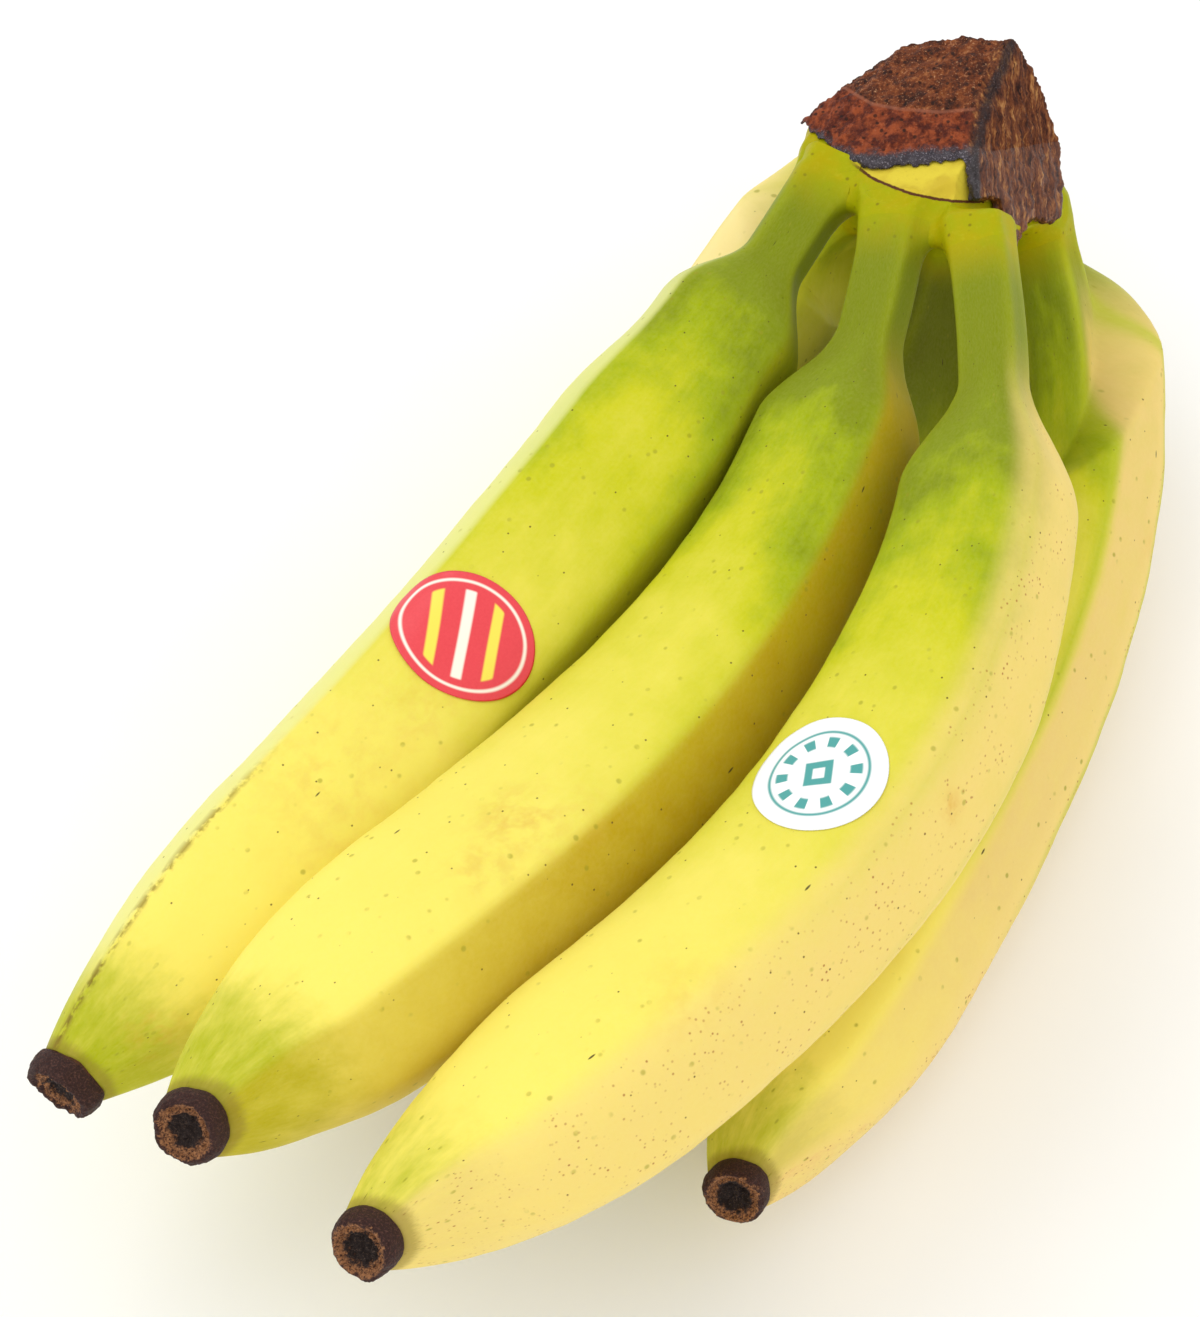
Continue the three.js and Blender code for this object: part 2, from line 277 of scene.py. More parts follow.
# A bruise is a place along, an angle, a size in mm and a strength.
fingers = {
    "front_left": {
        "line": [[40.5, 86, 62], [4, 20.5, 51], [-39, -34.5, 46.5], [-81, -85.3, 50]],
        "nose": [-0.54, -0.84, 0.02], "shoulderRadius": 15.2, "bellyAt": 0.33, "tipRadius": 6.4,
        "innerRidge": 166, "roll": -3, "pale": 0.9, "tipGreen": 0.75,
        "sideTintAndShade": "#b4ae06", "sideShare": 0.7, "scar": 1.0,
        "bruises": [[0.63, 118, 9, 0.35], [0.72, 128, 12, 0.4], [0.76, 100, 8, 0.3], [0.95, 88, 4, 0.7]],
    },
    "front_middle": {
        "line": [[51.5, 73.5, 66.5], [35.8, -19.6, 47.8], [-13.5, -54, 61], [-59.5, -101.5, 67]],
        "nose": [-0.37, -0.73, 0.58], "neckRadius": 6, "neckEnd": 0.12, "shoulderAt": 0.23,
        "shoulderRadius": 14.8, "bellyAt": 0.7, "bellyRadius": 19.1, "taperFrom": 0.77,
        "roll": 5, "ripe": -0.03, "tipGreen": 0.7, "sideTintAndShade": "#bd9f06", "sideShare": 0.92,
        "bruises": [[0.7, 110, 7, 0.7], [0.745, 104, 5, 0.6], [0.66, 95, 5, 0.3]],
    },
    "front_right": {
        "line": [[64.7, 64, 70], [72.5, -38, 69.5], [26.5, -72.5, 62], [-33, -119.5, 66]],
        "nose": [-0.42, -0.74, 0.52], "neckRadius": 6.2, "neckEnd": 0.14, "shoulderAt": 0.26,
        "taperFrom": 0.77, "tipRadius": 5.5, "roll": -20, "ripe": -0.05,
        "blush": 0.75, "blushFrom": 0.1, "sideTintAndShade": "#efd46a", "sideShare": 0.85, "sideSoft": 7,
        "bruises": [[0.52, 42, 2.2, 0.9], [0.75, 74, 7, 0.3]],
    },
    "back_left": {
        "line": [[48.5, 92.5, 46], [37, 114.7, 9.6], [-16.5, -3, 14.2], [-36, -60, 18]],
        "nose": [-0.2, -0.95, 0.24], "neckEnd": 0.025, "shoulderAt": 0.11, "shoulderRadius": 16.8,
        "bellyFrom": 0.1, "bellyRadius": 18, "heel": 0.06,
        "blush": 0.9, "blushFrom": 0.0, "ripe": 0.3, "sideTintAndShade": "#f6e198", "sideShare": 1.1,
        "sideFrom": 0.0, "sideSoft": 6, "sideBack": 70,
        "bruises": [[0.2, 60, 4, 0.5]],
    },
    "back_middle": {
        "line": [[61, 84, 50], [62, 77.5, 3], [8.5, -33, 18.2], [-6, -74, 22]],
        "nose": [-0.22, -0.93, 0.3], "neckEnd": 0.06, "shoulderAt": 0.2, "shoulderRadius": 14,
        "bellyFrom": 0.18, "bellyRadius": 18, "heel": 0.03, "paintedShade": 0.45,
        "bruises": [],
    },
    "back_right": {
        "line": [[77, 85, 49], [101.5, 39.5, 6.5], [49.5, -37, 15], [22, -92, 24.5]],
        "nose": [-0.26, -0.82, 0.51], "neckRadius": 6.8, "neckEnd": 0.14, "shoulderRadius": 18,
        "tipRadius": 5.4, "heel": 0.11, "roll": 28, "blush": 0.9, "blushFrom": 0.2, "ripe": 0.14,
        "sideTintAndShade": "#e8ca78", "sideShare": 1.0, "sideFrom": 0.03, "sideSoft": 3,
        "lineGreen": 0.9, "tipGreen": 0.6, "freckles": 1.3, "bruises": [[0.3, 60, 5, 0.3]],
    },
}

fingerMesh = {
    "rings": 300, "around": 120, "rootRings": 4,
    "rootLength": 1.0,  # how far the mesh runs into the crown
    "rootSunk": 0.5,  # how deep it lies there below the crown's skin
    "smaller": 0.12,  # how much the skin is drawn in, so that its bumps stay in the solid's box
}


def ridgesRound(size):  # from the inner ridge once round to it again
    return [size["innerRidge"] - 360, *section["outerRidges"], size["innerRidge"]]


def sectionShare(angles, size):
    ridges = ridgesRound(size)
    total = np.zeros_like(angles, dtype=float)
    turns = np.linspace(-0.5, 0.5, 5) * section["ridgeWidth"]
    for turn in turns:
        here = (angles + turn - ridges[0]) % 360 + ridges[0]
        for low, high, dip in zip(ridges, ridges[1:], section["dips"]):
            inside = (here >= low) & (here < high)
            share = np.clip((here - low) / (high - low), 0, 1)
            total += np.where(inside, dip * np.sin(np.pi * share) ** section["dipRounding"], 0)
    return total / len(turns)


class Finger:  # a middle line, the side that it bows to, and the skin as a function
    def __init__(self, size):
        self.size = size
        ends = np.array(size["line"], float) + fromFingers
        t = np.linspace(0, 1, 801)[:, None]
        self.points = ((1 - t) ** 3 * ends[0] + 3 * (1 - t) ** 2 * t * ends[1]
                       + 3 * (1 - t) * t ** 2 * ends[2] + t ** 3 * ends[3])
        self.slopes = (3 * (1 - t) ** 2 * (ends[1] - ends[0]) + 6 * (1 - t) * t * (ends[2] - ends[1])
                       + 3 * t ** 2 * (ends[3] - ends[2]))
        steps = np.linalg.norm(np.diff(self.points, axis=0), axis=1)
        self.reached = np.concatenate([[0], np.cumsum(steps)])
        self.length = self.reached[-1]
        self.bow = unit(self.at(np.array([0.5]), self.points)[0] - (ends[0] + ends[3]) / 2)

    def at(self, along, track):
        reach = np.clip(along, 0, 1) * self.length
        return np.stack([np.interp(reach, self.reached, track[:, i]) for i in range(3)], 1)

    def frames(self, along):
        turn = smoothstep(along, self.size["noseFrom"], 1)[:, None]
        tangent = unit(self.at(along, self.slopes))
        tangent = unit(tangent * (1 - turn) + unit(self.size["nose"]) * turn)
        outward = unit(self.bow - (tangent @ self.bow)[:, None] * tangent)
        beyond = np.minimum(along, 0)[:, None] * self.length * tangent
        return self.at(along, self.points) + beyond, tangent, outward, np.cross(tangent, outward)

    def radius(self, along, angles):
        s = self.size
        sooner = s["heel"] * np.cos(np.radians(angles))
        shoulder = smoothstep(along + sooner, s["neckEnd"], s["shoulderAt"])
        belly = smoothstep(along, s["bellyFrom"], s["bellyAt"])
        taper = np.maximum(0, (along - s["taperFrom"]) / (1 - s["taperFrom"])) ** s["taperPower"]
        plain = (s["neckRadius"] + (s["shoulderRadius"] - s["neckRadius"]) * shoulder
                 + (s["bellyRadius"] - s["shoulderRadius"]) * belly
                 - (s["bellyRadius"] - s["tipRadius"]) * taper)
        neck = 1 - smoothstep(along, 0.08, 0.3)
        return plain * (1 - sectionShare(angles - s["roll"], s) * (1 + (section["neckDips"] - 1) * neck))

    # A point of the skin at each along and angle, lifted off it where something lies on it
    def skin(self, along, angles, lift=0.0):
        centre, _, outward, side = self.frames(along.ravel())
        reach = (self.radius(along, angles) + lift).ravel()[:, None]
        turn = np.radians(angles).ravel()[:, None]
        points = centre + reach * (np.cos(turn) * outward + np.sin(turn) * side)
        return points.reshape(*along.shape, 3)

    def away(self, along, angles, angle):  # round the finger from one angle, in mm
        turn = (angles - angle + 180) % 360 - 180
        return self.radius(along, angles) * np.radians(turn)

    # How far points lie outside the neck, which runs on past its root and thins out there
    def outsideNeck(self, points):
        along = np.full(len(points), 0.03)
        for _ in range(3):
            centre, tangent, outward, side = self.frames(along)
            gap = points - centre
            along = np.clip(along + (gap * tangent).sum(1) / self.length, -0.2, 0.3)
        angles = np.degrees(np.arctan2((gap * side).sum(1), (gap * outward).sum(1)))
        thinning = smoothstep(-along * self.length, crownShape["rootHold"], crownShape["rootEnd"])
        apart = np.linalg.norm(points - self.frames(along)[0], axis=1)
        return apart - self.radius(along, angles) * (1 - thinning), along


shapes = {name: Finger({**usualFinger, **fingers[name]}) for name in fingers}
print("fingers shaped")

# The crown and the necks as one surface with rounded creases

crownShape = {
    "corners": [[35, 97, 62], [41, 87, 66.4], [46, 81, 69], [65, 80, 73], [35, 97, 58], [37.5, 88, 60],
                [46, 73, 65.5], [58, 66, 68], [70, 65, 66.5], [82, 84, 55], [82, 100, 58],
                [45, 96, 44], [62, 90, 44], [80, 90, 42], [80, 102, 46], [60, 108, 50], [44, 107, 52],
                [44, 103, 66], [55, 108.5, 70.5], [64, 107.5, 73], [73, 104, 75.5], [76, 103, 70]],
    "edgeRounding": 1.2,
    "rootHold": 1.5, "rootEnd": 10,  # how far past its root a neck keeps its width, and ends
    "neckCrease": 5.0, "blockCrease": 8.0,  # widths over which two surfaces are blended
    "reach": 0.16,  # share of a finger's length that is blended with its neighbours and the crown
    "seam": 0.02,  # share of a finger's length at which the crown's skin dives below the neck's
    "seamDepth": 0.6, "seamSide": 2.5,  # how deep it dives, and how far to the neck's side
    "voxel": 0.5,
    "stubFrom": -0.03, "stubTo": 0.038, "stubRings": 12, "stubSpokes": 48,  # the neck roots in its mesh
    "seamNormal": [-0.2, 0.21, 0.96], "seamPoint": [46, 80, 68],  # of the plane below the dried cut
    "tornGap": 1.2, "tornFrom": -12, "tornTo": -9,  # how far it stays behind the torn side, and where
}


def hullPlanes(corners):
    shell = bmesh.new()
    for corner in corners:
        shell.verts.new(corner)
    hull = bmesh.ops.convex_hull(shell, input=shell.verts)
    planes = [(*face.normal, face.normal.dot(face.verts[0].co)) for face in hull["geom"]
              if isinstance(face, bmesh.types.BMFace)]
    shell.free()
    return np.array(planes)


crownPlanes = hullPlanes(np.array(crownShape["corners"], float) + fromFingers)


def blended(first, second, width):  # the lesser of two distances, with the crease between them rounded
    near = np.maximum(width - np.abs(first - second), 0) / width
    return np.minimum(first, second) - near * near * width / 4


def outsideCrown(points):
    levels = points @ crownPlanes[:, :3].T - crownPlanes[:, 3]
    highest, rounding = levels.max(1), crownShape["edgeRounding"]
    spread = np.exp((levels - highest[:, None]) / rounding).sum(1)
    block = highest + rounding * np.log(spread) - rounding / 2
    necks = None
    for shape in shapes.values():
        neck = shape.outsideNeck(points)[0]
        necks = neck if necks is None else blended(necks, neck, crownShape["neckCrease"])
    return blended(necks, block, crownShape["blockCrease"])


# Points moved onto that surface, each by its weight, down the slope of the distance from it
def ontoCrown(points, weights, rounds=3, farthest=1.5, apart=0.05):
    for _ in range(rounds):
        level = outsideCrown(points)
        slope = np.stack([outsideCrown(points + step) - level for step in np.eye(3) * apart], 1) / apart
        steep = np.maximum((slope * slope).sum(1), 0.3)
        move = -(np.clip(level, -farthest, farthest) / steep)[:, None] * slope
        points = points + weights[:, None] * move
    return points


# How far picture places lie from a line of corners, and on which side (above it is positive)
def fromLine(places, line):
    line = np.array(line, float)
    best, side = np.full(len(places), 1e9), np.zeros(len(places))
    for start, end in zip(line, line[1:]):
        run = end - start
        share = np.clip(((places - start) @ run) / (run @ run), 0, 1)
        gap = places - (start + share[:, None] * run)
        apart = np.hypot(gap[:, 0], gap[:, 1])
        nearer = apart < best
        best = np.where(nearer, apart, best)
        side = np.where(nearer, np.sign(run[1] * gap[:, 0] - run[0] * gap[:, 1]), side)
    return best * side


# Lines across the crown, as the camera sees them
crownLines = {
    "lip": [[785, 115], [805, 135], [824, 149], [842, 159], [864, 163], [888, 163], [915, 162], [936, 159],
            [957, 157], [976, 154]],
    "band": [[800, 82], [845, 88], [872, 104], [900, 109], [940, 112], [985, 108]],
    "wedge": [[848, 160], [872, 178], [888, 185], [909, 193], [931, 198], [952, 201], [980, 202]],
    "fold": [[1010, 46], [1003, 68], [992, 90], [984, 116], [976, 149], [975, 200]],
}


# Where the crown's marks lie, and how far each point faces the camera
def crownMarks(points, normals):
    seen = seenAt(points)
    facing = smoothstep((normals * unit(eye - points)).sum(1), 0.1, 0.3)
    between = smoothstep(seen[:, 0], 846, 866) * (1 - smoothstep(seen[:, 0], 985, 995))
    return {"wedge": fromLine(seen, crownLines["wedge"]), "wedgeShare": facing * between}


freshLook = {
    "green": "#b0a204", "cooler": "#a3a606", "grain": "#c6bd30", "dot": "#6b5a12",
    "flesh": "#dfcb40", "fleshShade": "#cdb436", "fleshGrain": "#b49a2e", "wedgeEdge": "#5a3420",
}


def freshColour(paint):  # of the crown's fresh tissue, with the bare wedge below the dried cut
    look = freshLook
    place = paint.place()
    patch = paint.noise(place, 0.12, 3, 0.6)
    grain = paint.noise(place, 1.2, 4, 0.65)
    colour = paint.blend(paint.step(patch, 0.35, 0.65), look["green"], look["cooler"])
    colour = paint.blend(paint.step(grain, 0.5, 0.75) * 0.25, colour, look["grain"])
    dots = paint.cells(place, 0.35)
    colour = paint.blend((1 - paint.step(dots, 0.06, 0.16)) * 0.6, colour, look["dot"])
    wedge = paint.attribute("wedge") + (grain - 0.5) * 2.5
    share = paint.attribute("wedgeShare")
    flesh = paint.blend(paint.step(patch, 0.4, 0.6), look["flesh"], look["fleshShade"])
    flesh = paint.blend(paint.step(grain, 0.55, 0.8) * 0.4, flesh, look["fleshGrain"])
    colour = paint.blend(paint.step(wedge, -0.5, 0.8) * share, colour, flesh)
    gap = paint.node("ShaderNodeMath", {"operation": "ABSOLUTE"}, {0: wedge})
    return paint.blend((1 - paint.step(gap, 0.9, 2.0)) * share, colour, look["wedgeEdge"])


def unevenness(points, seed):  # of the skin, in mm
    return 0.28 * roughnessAt(points, 14, 1, seed) + 0.1 * roughnessAt(points, 4, 1, seed + 3)


def fingerPoints(finger, seed):
    rings, around = fingerMesh["rings"], fingerMesh["around"]
    root = np.linspace(-fingerMesh["rootLength"] / finger.length, -0.002, fingerMesh["rootRings"])
    alongs = np.concatenate([root, np.linspace(0, 1, rings)])
    along, angles = np.meshgrid(alongs, np.linspace(-180, 180, around, endpoint=False), indexing="ij")
    uneven = unevenness(finger.skin(along, angles).reshape(-1, 3), seed).reshape(along.shape)
    swell = uneven * smoothstep(along, 0.0, 0.05) * (1 - smoothstep(along, 0.93, 1))
    grid = finger.skin(along, angles, swell - fingerMesh["smaller"])
    seam, reach = crownShape["seam"], crownShape["reach"]
    rows = alongs < reach
    weights = 1 - smoothstep(along[rows].ravel(), reach * 0.75, reach)
    near = ontoCrown(grid[rows].reshape(-1, 3), weights).reshape(grid[rows].shape)
    sunk = fingerMesh["rootSunk"] * (1 - smoothstep(alongs[rows], seam * 0.4, seam))
    axis = finger.frames(alongs[rows])[0][:, None]
    grid[rows] = near + sunk[:, None, None] * unit(axis - near)
    grid[..., 2] = np.maximum(grid[..., 2], 0.0)  # pressed flat where it lies on the surface
    return along, angles, grid


def gridNormals(grid):
    lengthwise = np.gradient(grid, axis=0)
    around = np.roll(grid, -1, axis=1) - np.roll(grid, 1, axis=1)
    return unit(np.cross(around, lengthwise) + 1e-9)


def ridgeCloseness(finger, along, angles, width):
    close = np.zeros_like(along)
    for ridge in ridgesRound(finger.size)[1:]:
        away = finger.away(along, angles, ridge + finger.size["roll"])
        close = np.maximum(close, np.exp(-(away / width) ** 2))
    return close


# What the skin's paint needs to know at each point
def fingerAttributes(finger, along, angles, grid):
    s = finger.size
    turn = np.radians(angles)
    wash = ridgeCloseness(finger, along, angles, 6.5) * s["ridgeGreen"] * (1 - smoothstep(along, 0.45, 0.85))
    started = smoothstep(along, s["sideFrom"], s["sideFrom"] + 0.12)
    # the faces between the outer ridges, with an edge at the ridge that the camera sees; on some fingers
    # their colour is a painted shade
    local = (angles - s["roll"] + 180) % 360 - 180
    perDegree = finger.radius(along, angles) * math.radians(1)
    last = section["outerRidges"][-1]
    side = smoothstep((last - local) * perDegree, -0.6, s["sideSoft"])
    side = side * smoothstep((local + last + s["sideBack"]) * perDegree, -2, 4 + s["sideBack"] / 8)
    # the face past the inner ridge, washed pale as a painted highlight where it turns toward the light, and
    # the scar along that ridge
    past = finger.away(along, angles, s["innerRidge"] + s["roll"])
    pale = smoothstep(past, -0.4, 1.0) * smoothstep(along, 0.1, 0.2) * (1 - smoothstep(along, 0.9, 0.97))
    bruise = np.zeros_like(along)
    for place, angle, size, strength in s["bruises"]:
        apart = np.hypot((along - place) * finger.length, finger.away(along, angles, angle))
        bruise = np.maximum(bruise, strength * np.exp(-(apart / size) ** 2))
    marks = crownMarks(grid.reshape(-1, 3), gridNormals(grid).reshape(-1, 3))
    return {
        **{key: values.reshape(along.shape) for key, values in marks.items()},
        "along": along,
        "ripeness": np.clip(along + s["ripe"] - wash, 0, 1),
        "tipGreen": smoothstep(along, 0.86, 0.98) * s["tipGreen"],
        "crown": 1 - smoothstep(along, 0.005, 0.07),
        "neck": 1 - smoothstep(along, 0.02, 0.24),
        "side": side * started * (1 - 0.45 * smoothstep(along, 0.6, 0.95)),
        "blush": s["blush"] * smoothstep(np.cos(turn), s["blushFrom"], s["blushFrom"] + 0.35) * started,
        "pale": s["pale"] * pale,
        "scar": s["scar"] * np.exp(-(past / 0.6) ** 2) * smoothstep(along, 0.7, 0.8),
        "ridgeLine": (ridgeCloseness(finger, along, angles, 1.1) * s["lineGreen"]
                      * (1 - smoothstep(along, 0.5, 0.75))),
        "bruise": bruise,
        "skinPlace": np.stack([along * finger.length, skinLook["rollRadius"] * np.cos(turn),
                               skinLook["rollRadius"] * np.sin(turn)], -1),
    }


skinLook = {
    # from the crown to the tip
    "ripening": [(0.03, "#7a8600"), (0.13, "#808f00"), (0.21, "#9fae00"), (0.32, "#c8c818"),
                 (0.48, "#e0d748"), (0.65, "#eee061"), (0.85, "#f8e768")],
    "tip": "#a9b000", "blush": "#efd27c", "blushRed": "#dfa66c", "pale": "#e4e594",
    "ridge": "#b4bd20", "bruise": "#dba443", "olive": "#93901a", "freckle": "#4d3210", "dark": "#241608",
    "redFleck": "#a05a26", "shadeInside": "#4a4200", "scar": "#6b4a12", "sheen": "#fff6b0",
    "fringe": "#8a762c",
    "gloss": 0.06,
    "rollRadius": 18,  # of the straight rod on which the skin's noise is laid out
}


def skinPaint(name, size, number):
    paint = Paint(f"skin_{name}", Specular_IOR_Level=skinLook["gloss"], Subsurface_Weight=0.05,
                  Subsurface_Scale=0.002, Subsurface_Radius=(1.0, 0.6, 0.1))
    raw = paint.attribute("skinPlace", "Vector")
    shifted = paint.node("ShaderNodeVectorMath", {"operation": "ADD"}, {0: raw, 1: (311.0 * number, 0, 0)})
    slow = paint.noise(shifted, 0.045, 2)
    patch = paint.noise(shifted, 0.16, 3, 0.6)
    streaks = paint.noise(paint.stretch(shifted, (0.05, 1, 1)), 0.75, 3, 0.6)
    grain = paint.noise(shifted, 1.3, 3, 0.6)

    ripeness = (paint.attribute("ripeness") + (slow - 0.5) * 0.3 + (streaks - 0.5) * 0.05
                + (patch - 0.5) * 0.16)
    colour = paint.node("ShaderNodeValToRGB", {"stops": skinLook["ripening"]}, {0: ripeness})
    tip = paint.step(paint.attribute("tipGreen") + (streaks - 0.5) * 0.14 + (patch - 0.5) * 0.6, 0.1, 0.95)
    colour = paint.blend(tip, colour, skinLook["tip"])
    # painted shade on front_left and front_middle: their outer faces, turned from the light, take a darker
    # gold; on the other fingers this is a tint of the skin
    side = paint.attribute("side") * size["sideShare"] * (0.7 + 0.5 * patch)
    colour = paint.blend(side, colour, size["sideTintAndShade"])
    # painted shade: a finger deep among the others is darkened towards a shaded olive, standing in for the
    # shade it lies in
    if size["paintedShade"]:
        colour = paint.blend(size["paintedShade"] * (0.7 + 0.6 * patch), colour, skinLook["shadeInside"])
    blush = paint.attribute("blush") * (0.7 + 0.5 * patch)
    colour = paint.blend(blush * (1 - paint.attribute("neck") * 0.6), colour, skinLook["blush"])
    redder = paint.step(blush + (grain - 0.5) * 0.5, 0.75, 1.15)
    colour = paint.blend(redder * 0.5, colour, skinLook["blushRed"])
    # painted highlight: the face past the inner ridge is washed whitish where it turns toward the light
    colour = paint.blend(paint.attribute("pale") * 0.85, colour, skinLook["pale"])
    colour = paint.blend(paint.attribute("ridgeLine") * (0.5 + 0.6 * patch), colour, skinLook["ridge"])
    bruise = paint.attribute("bruise") * paint.step(paint.noise(shifted, 0.24, 3, 0.6, 0.2), 0.36, 0.7)
    colour = paint.blend(bruise * 0.75, colour, skinLook["bruise"])

    # freckles: faint olive dots, small dark dots, red-brown flecks on the blush, and a few short dashes
    faint = paint.cells(shifted, 0.28)
    dots = paint.cells(paint.stretch(shifted, (1.0, 1.07, 0.93)), 0.3)
    flecks = paint.cells(shifted, 0.9)
    dashes = paint.cells(paint.stretch(shifted, (0.4, 1.6, 1.2)), 0.085)
    many = size["freckles"]
    faintMask = (1 - paint.step(faint, 0.07, 0.17)) * paint.step(patch, 0.42, 0.6) * 0.55 * many
    dotMask = (1 - paint.step(dots, 0.03, 0.075)) * min(1, many)
    flecked = paint.step(blush + (patch - 0.5) * 1.2, 0.55, 0.95)
    fleckMask = (1 - paint.step(flecks, 0.1, 0.26)) * flecked * 0.8
    dashMask = 1 - paint.step(dashes, 0.015, 0.03)
    colour = paint.blend(faintMask, colour, skinLook["olive"])
    colour = paint.blend(fleckMask, colour, skinLook["redFleck"])
    colour = paint.blend(dotMask * 0.85, colour, skinLook["freckle"])
    colour = paint.blend(dashMask * 0.9, colour, skinLook["dark"])
    if size["scar"]:
        broken = paint.step(paint.noise(shifted, 0.35, 3, 0.6), 0.42, 0.56)
        colour = paint.blend(paint.attribute("scar") * broken * 0.85, colour, skinLook["scar"])
    colour = paint.blend((grain - 0.5) * 0.12 + 0.03, colour, skinLook["sheen"])
    end = paint.step(paint.attribute("along") + (grain - 0.5) * 0.006, 0.988, 0.996)
    colour = paint.blend(end * 0.6, colour, skinLook["fringe"])
    colour = paint.blend(paint.attribute("crown"), colour, freshColour(paint))
    paint.set("Base Color", colour)
    paint.set("Roughness", 0.38 + grain * 0.1 + patch * 0.08 + dotMask * 0.2)
    height = grain * 0.5 + streaks * 0.8 - dotMask * 0.6 - faintMask * 0.5
    paint.set("Normal", paint.bump(height, 0.12, 0.5))
    return paint


for number, (name, shape) in enumerate(shapes.items()):
    along, angles, grid = fingerPoints(shape, number)
    values = {key: closed(v) if v.ndim == 3 else closedValues(v)
              for key, v in fingerAttributes(shape, along, angles, grid).items()}
    meshPiece(f"skin_{name}", closed(grid), tubeFaces(*along.shape), skinPaint(name, shape.size, number),
              f"skin_{name}", f"banana_{name}", **values)
print("fingers made")

# Dried blossom ends

blossomLook = {
    # radius and height, from the middle of the back over the rim into the hollow
    "profile": [[0, -0.3], [5.2, -0.5], [5.9, 0.2], [6.05, 1.1], [5.9, 2.3], [5.5, 3.5], [4.9, 4.15],
                [4.4, 4.0], [4.1, 3.4], [3.8, 3.3], [3.4, 3.75], [3.0, 3.6], [2.6, 2.9], [1.6, 2.5],
                [0.7, 2.7], [0, 2.8]],
    "highest": 4.45, "rings": 70, "spokes": 96,
    "rim": "#341c18", "rimEdge": "#6b473c", "ring": "#b0794e", "pit": "#2a1f1c", "pitLight": "#5f4c40",
    "crumb": "#a89a8e", "base": "#5a3524",
}


def blossomPoints(finger, seed):
    profile = np.array(blossomLook["profile"], float)
    reached = np.concatenate([[0], np.cumsum(np.linalg.norm(np.diff(profile, axis=0), axis=1))])
    share = np.linspace(0.002, 1, blossomLook["rings"] + 1)[:-1] * reached[-1]
    radius = np.interp(share, reached, profile[:, 0])
    height = np.interp(share, reached, profile[:, 1])
    spin = np.linspace(0, 2 * np.pi, blossomLook["spokes"], endpoint=False)
    centre, axis, outward, side = (v[0] for v in finger.frames(np.array([1.0])))
    radius, height = radius[:, None] + 0 * spin, height[:, None] + 0 * spin
    flatPlace = np.stack([radius * np.cos(spin), radius * np.sin(spin), height + seed * 9], -1)
    flatPlace = flatPlace.reshape(-1, 3)
    lobes = roughnessAt(flatPlace * [1, 1, 0.3], 3.2, 1, seed).reshape(radius.shape)
    crumbs = roughnessAt(flatPlace, 0.9, 3, seed + 5).reshape(radius.shape)
    inner = 1 - smoothstep(radius, 3.0, 4.2)
    top = smoothstep(height, 1.2, 3.0)
    wobble = 1 + 0.055 * lobes - 0.03 * np.abs(np.sin(2.5 * spin + seed)) + 0.012 * crumbs
    radius = radius * wobble * finger.size["tipRadius"] / usualFinger["tipRadius"]
    height = height + top * (0.55 * lobes + 0.3 * crumbs + inner * (0.5 * crumbs - 0.25))
    height = np.minimum(height, blossomLook["highest"])
    grid = (centre + height[..., None] * axis + (radius * np.cos(spin))[..., None] * outward
            + (radius * np.sin(spin))[..., None] * side)
    return grid, radius, height


def blossomPaint():
    look = blossomLook
    paint = Paint("dried_blossom_end", Specular_IOR_Level=0.25)
    place = paint.place()
    out = paint.attribute("out")
    blotch = paint.noise(place, 0.9, 3, 0.6)
    crumbs = paint.noise(place, 3.2, 4, 0.7)
    spread = out + (blotch - 0.5) * 3.0
    ring = paint.step(spread, 2.6, 3.2) * (1 - paint.step(spread, 4.0, 4.6))
    pit = paint.blend(paint.step(crumbs, 0.5, 0.7), look["pit"], look["pitLight"])
    pit = paint.blend(paint.step(crumbs, 0.62, 0.78) * 0.6, pit, look["crumb"])
    rim = paint.blend(paint.step(crumbs, 0.45, 0.75), look["rim"], look["rimEdge"])
    colour = paint.blend(paint.step(spread, 2.3, 3.4), pit, rim)
    colour = paint.blend(ring * paint.step(crumbs, 0.36, 0.6), colour, look["ring"])
    skinward = 1 - paint.step(paint.attribute("up") + (blotch - 0.5) * 1.2, -0.1, 0.5)
    colour = paint.blend(skinward, colour, look["base"])
    paint.set("Base Color", colour)
    paint.set("Roughness", 0.45 + crumbs * 0.4)
    paint.set("Normal", paint.bump(crumbs + blotch * 0.6, 0.5, 0.8))
    return paint


blossom = blossomPaint()
for number, (name, shape) in enumerate(shapes.items()):
    grid, radius, height = blossomPoints(shape, number + 1)
    meshPiece(f"blossom_{name}", closed(grid), tubeFaces(*radius.shape), blossom, "dried_blossom_end",
              f"blossom_end_{name}", out=closedValues(radius), up=closedValues(height))
print("blossom ends made")

# Stickers, with plain patterns of bars, rings and dots

stickers = {
    "sticker_red_oval": {"finger": "front_left", "along": 0.56, "around": 127, "halfLength": 10.7,
                         "halfWidth": 11.8, "turn": 25, "slot": "sticker_red"},
    "sticker_white_round": {"finger": "front_right", "along": 0.555, "around": 114, "halfLength": 11.5,
                            "halfWidth": 10.3, "turn": -15, "slot": "sticker_white"},
}
stickerMesh = {"rings": 40, "spokes": 120, "lift": 0.1, "thickness": 0.14, "curl": 0.12}
stickerInk = {
    "red": "#e02a38", "redLight": "#ec4048", "yellow": "#f6e24a", "cream": "#fdf3e4",
    "white": "#f4f6f4", "whiteLight": "#fdfefd", "teal": "#3f9f9a",
}


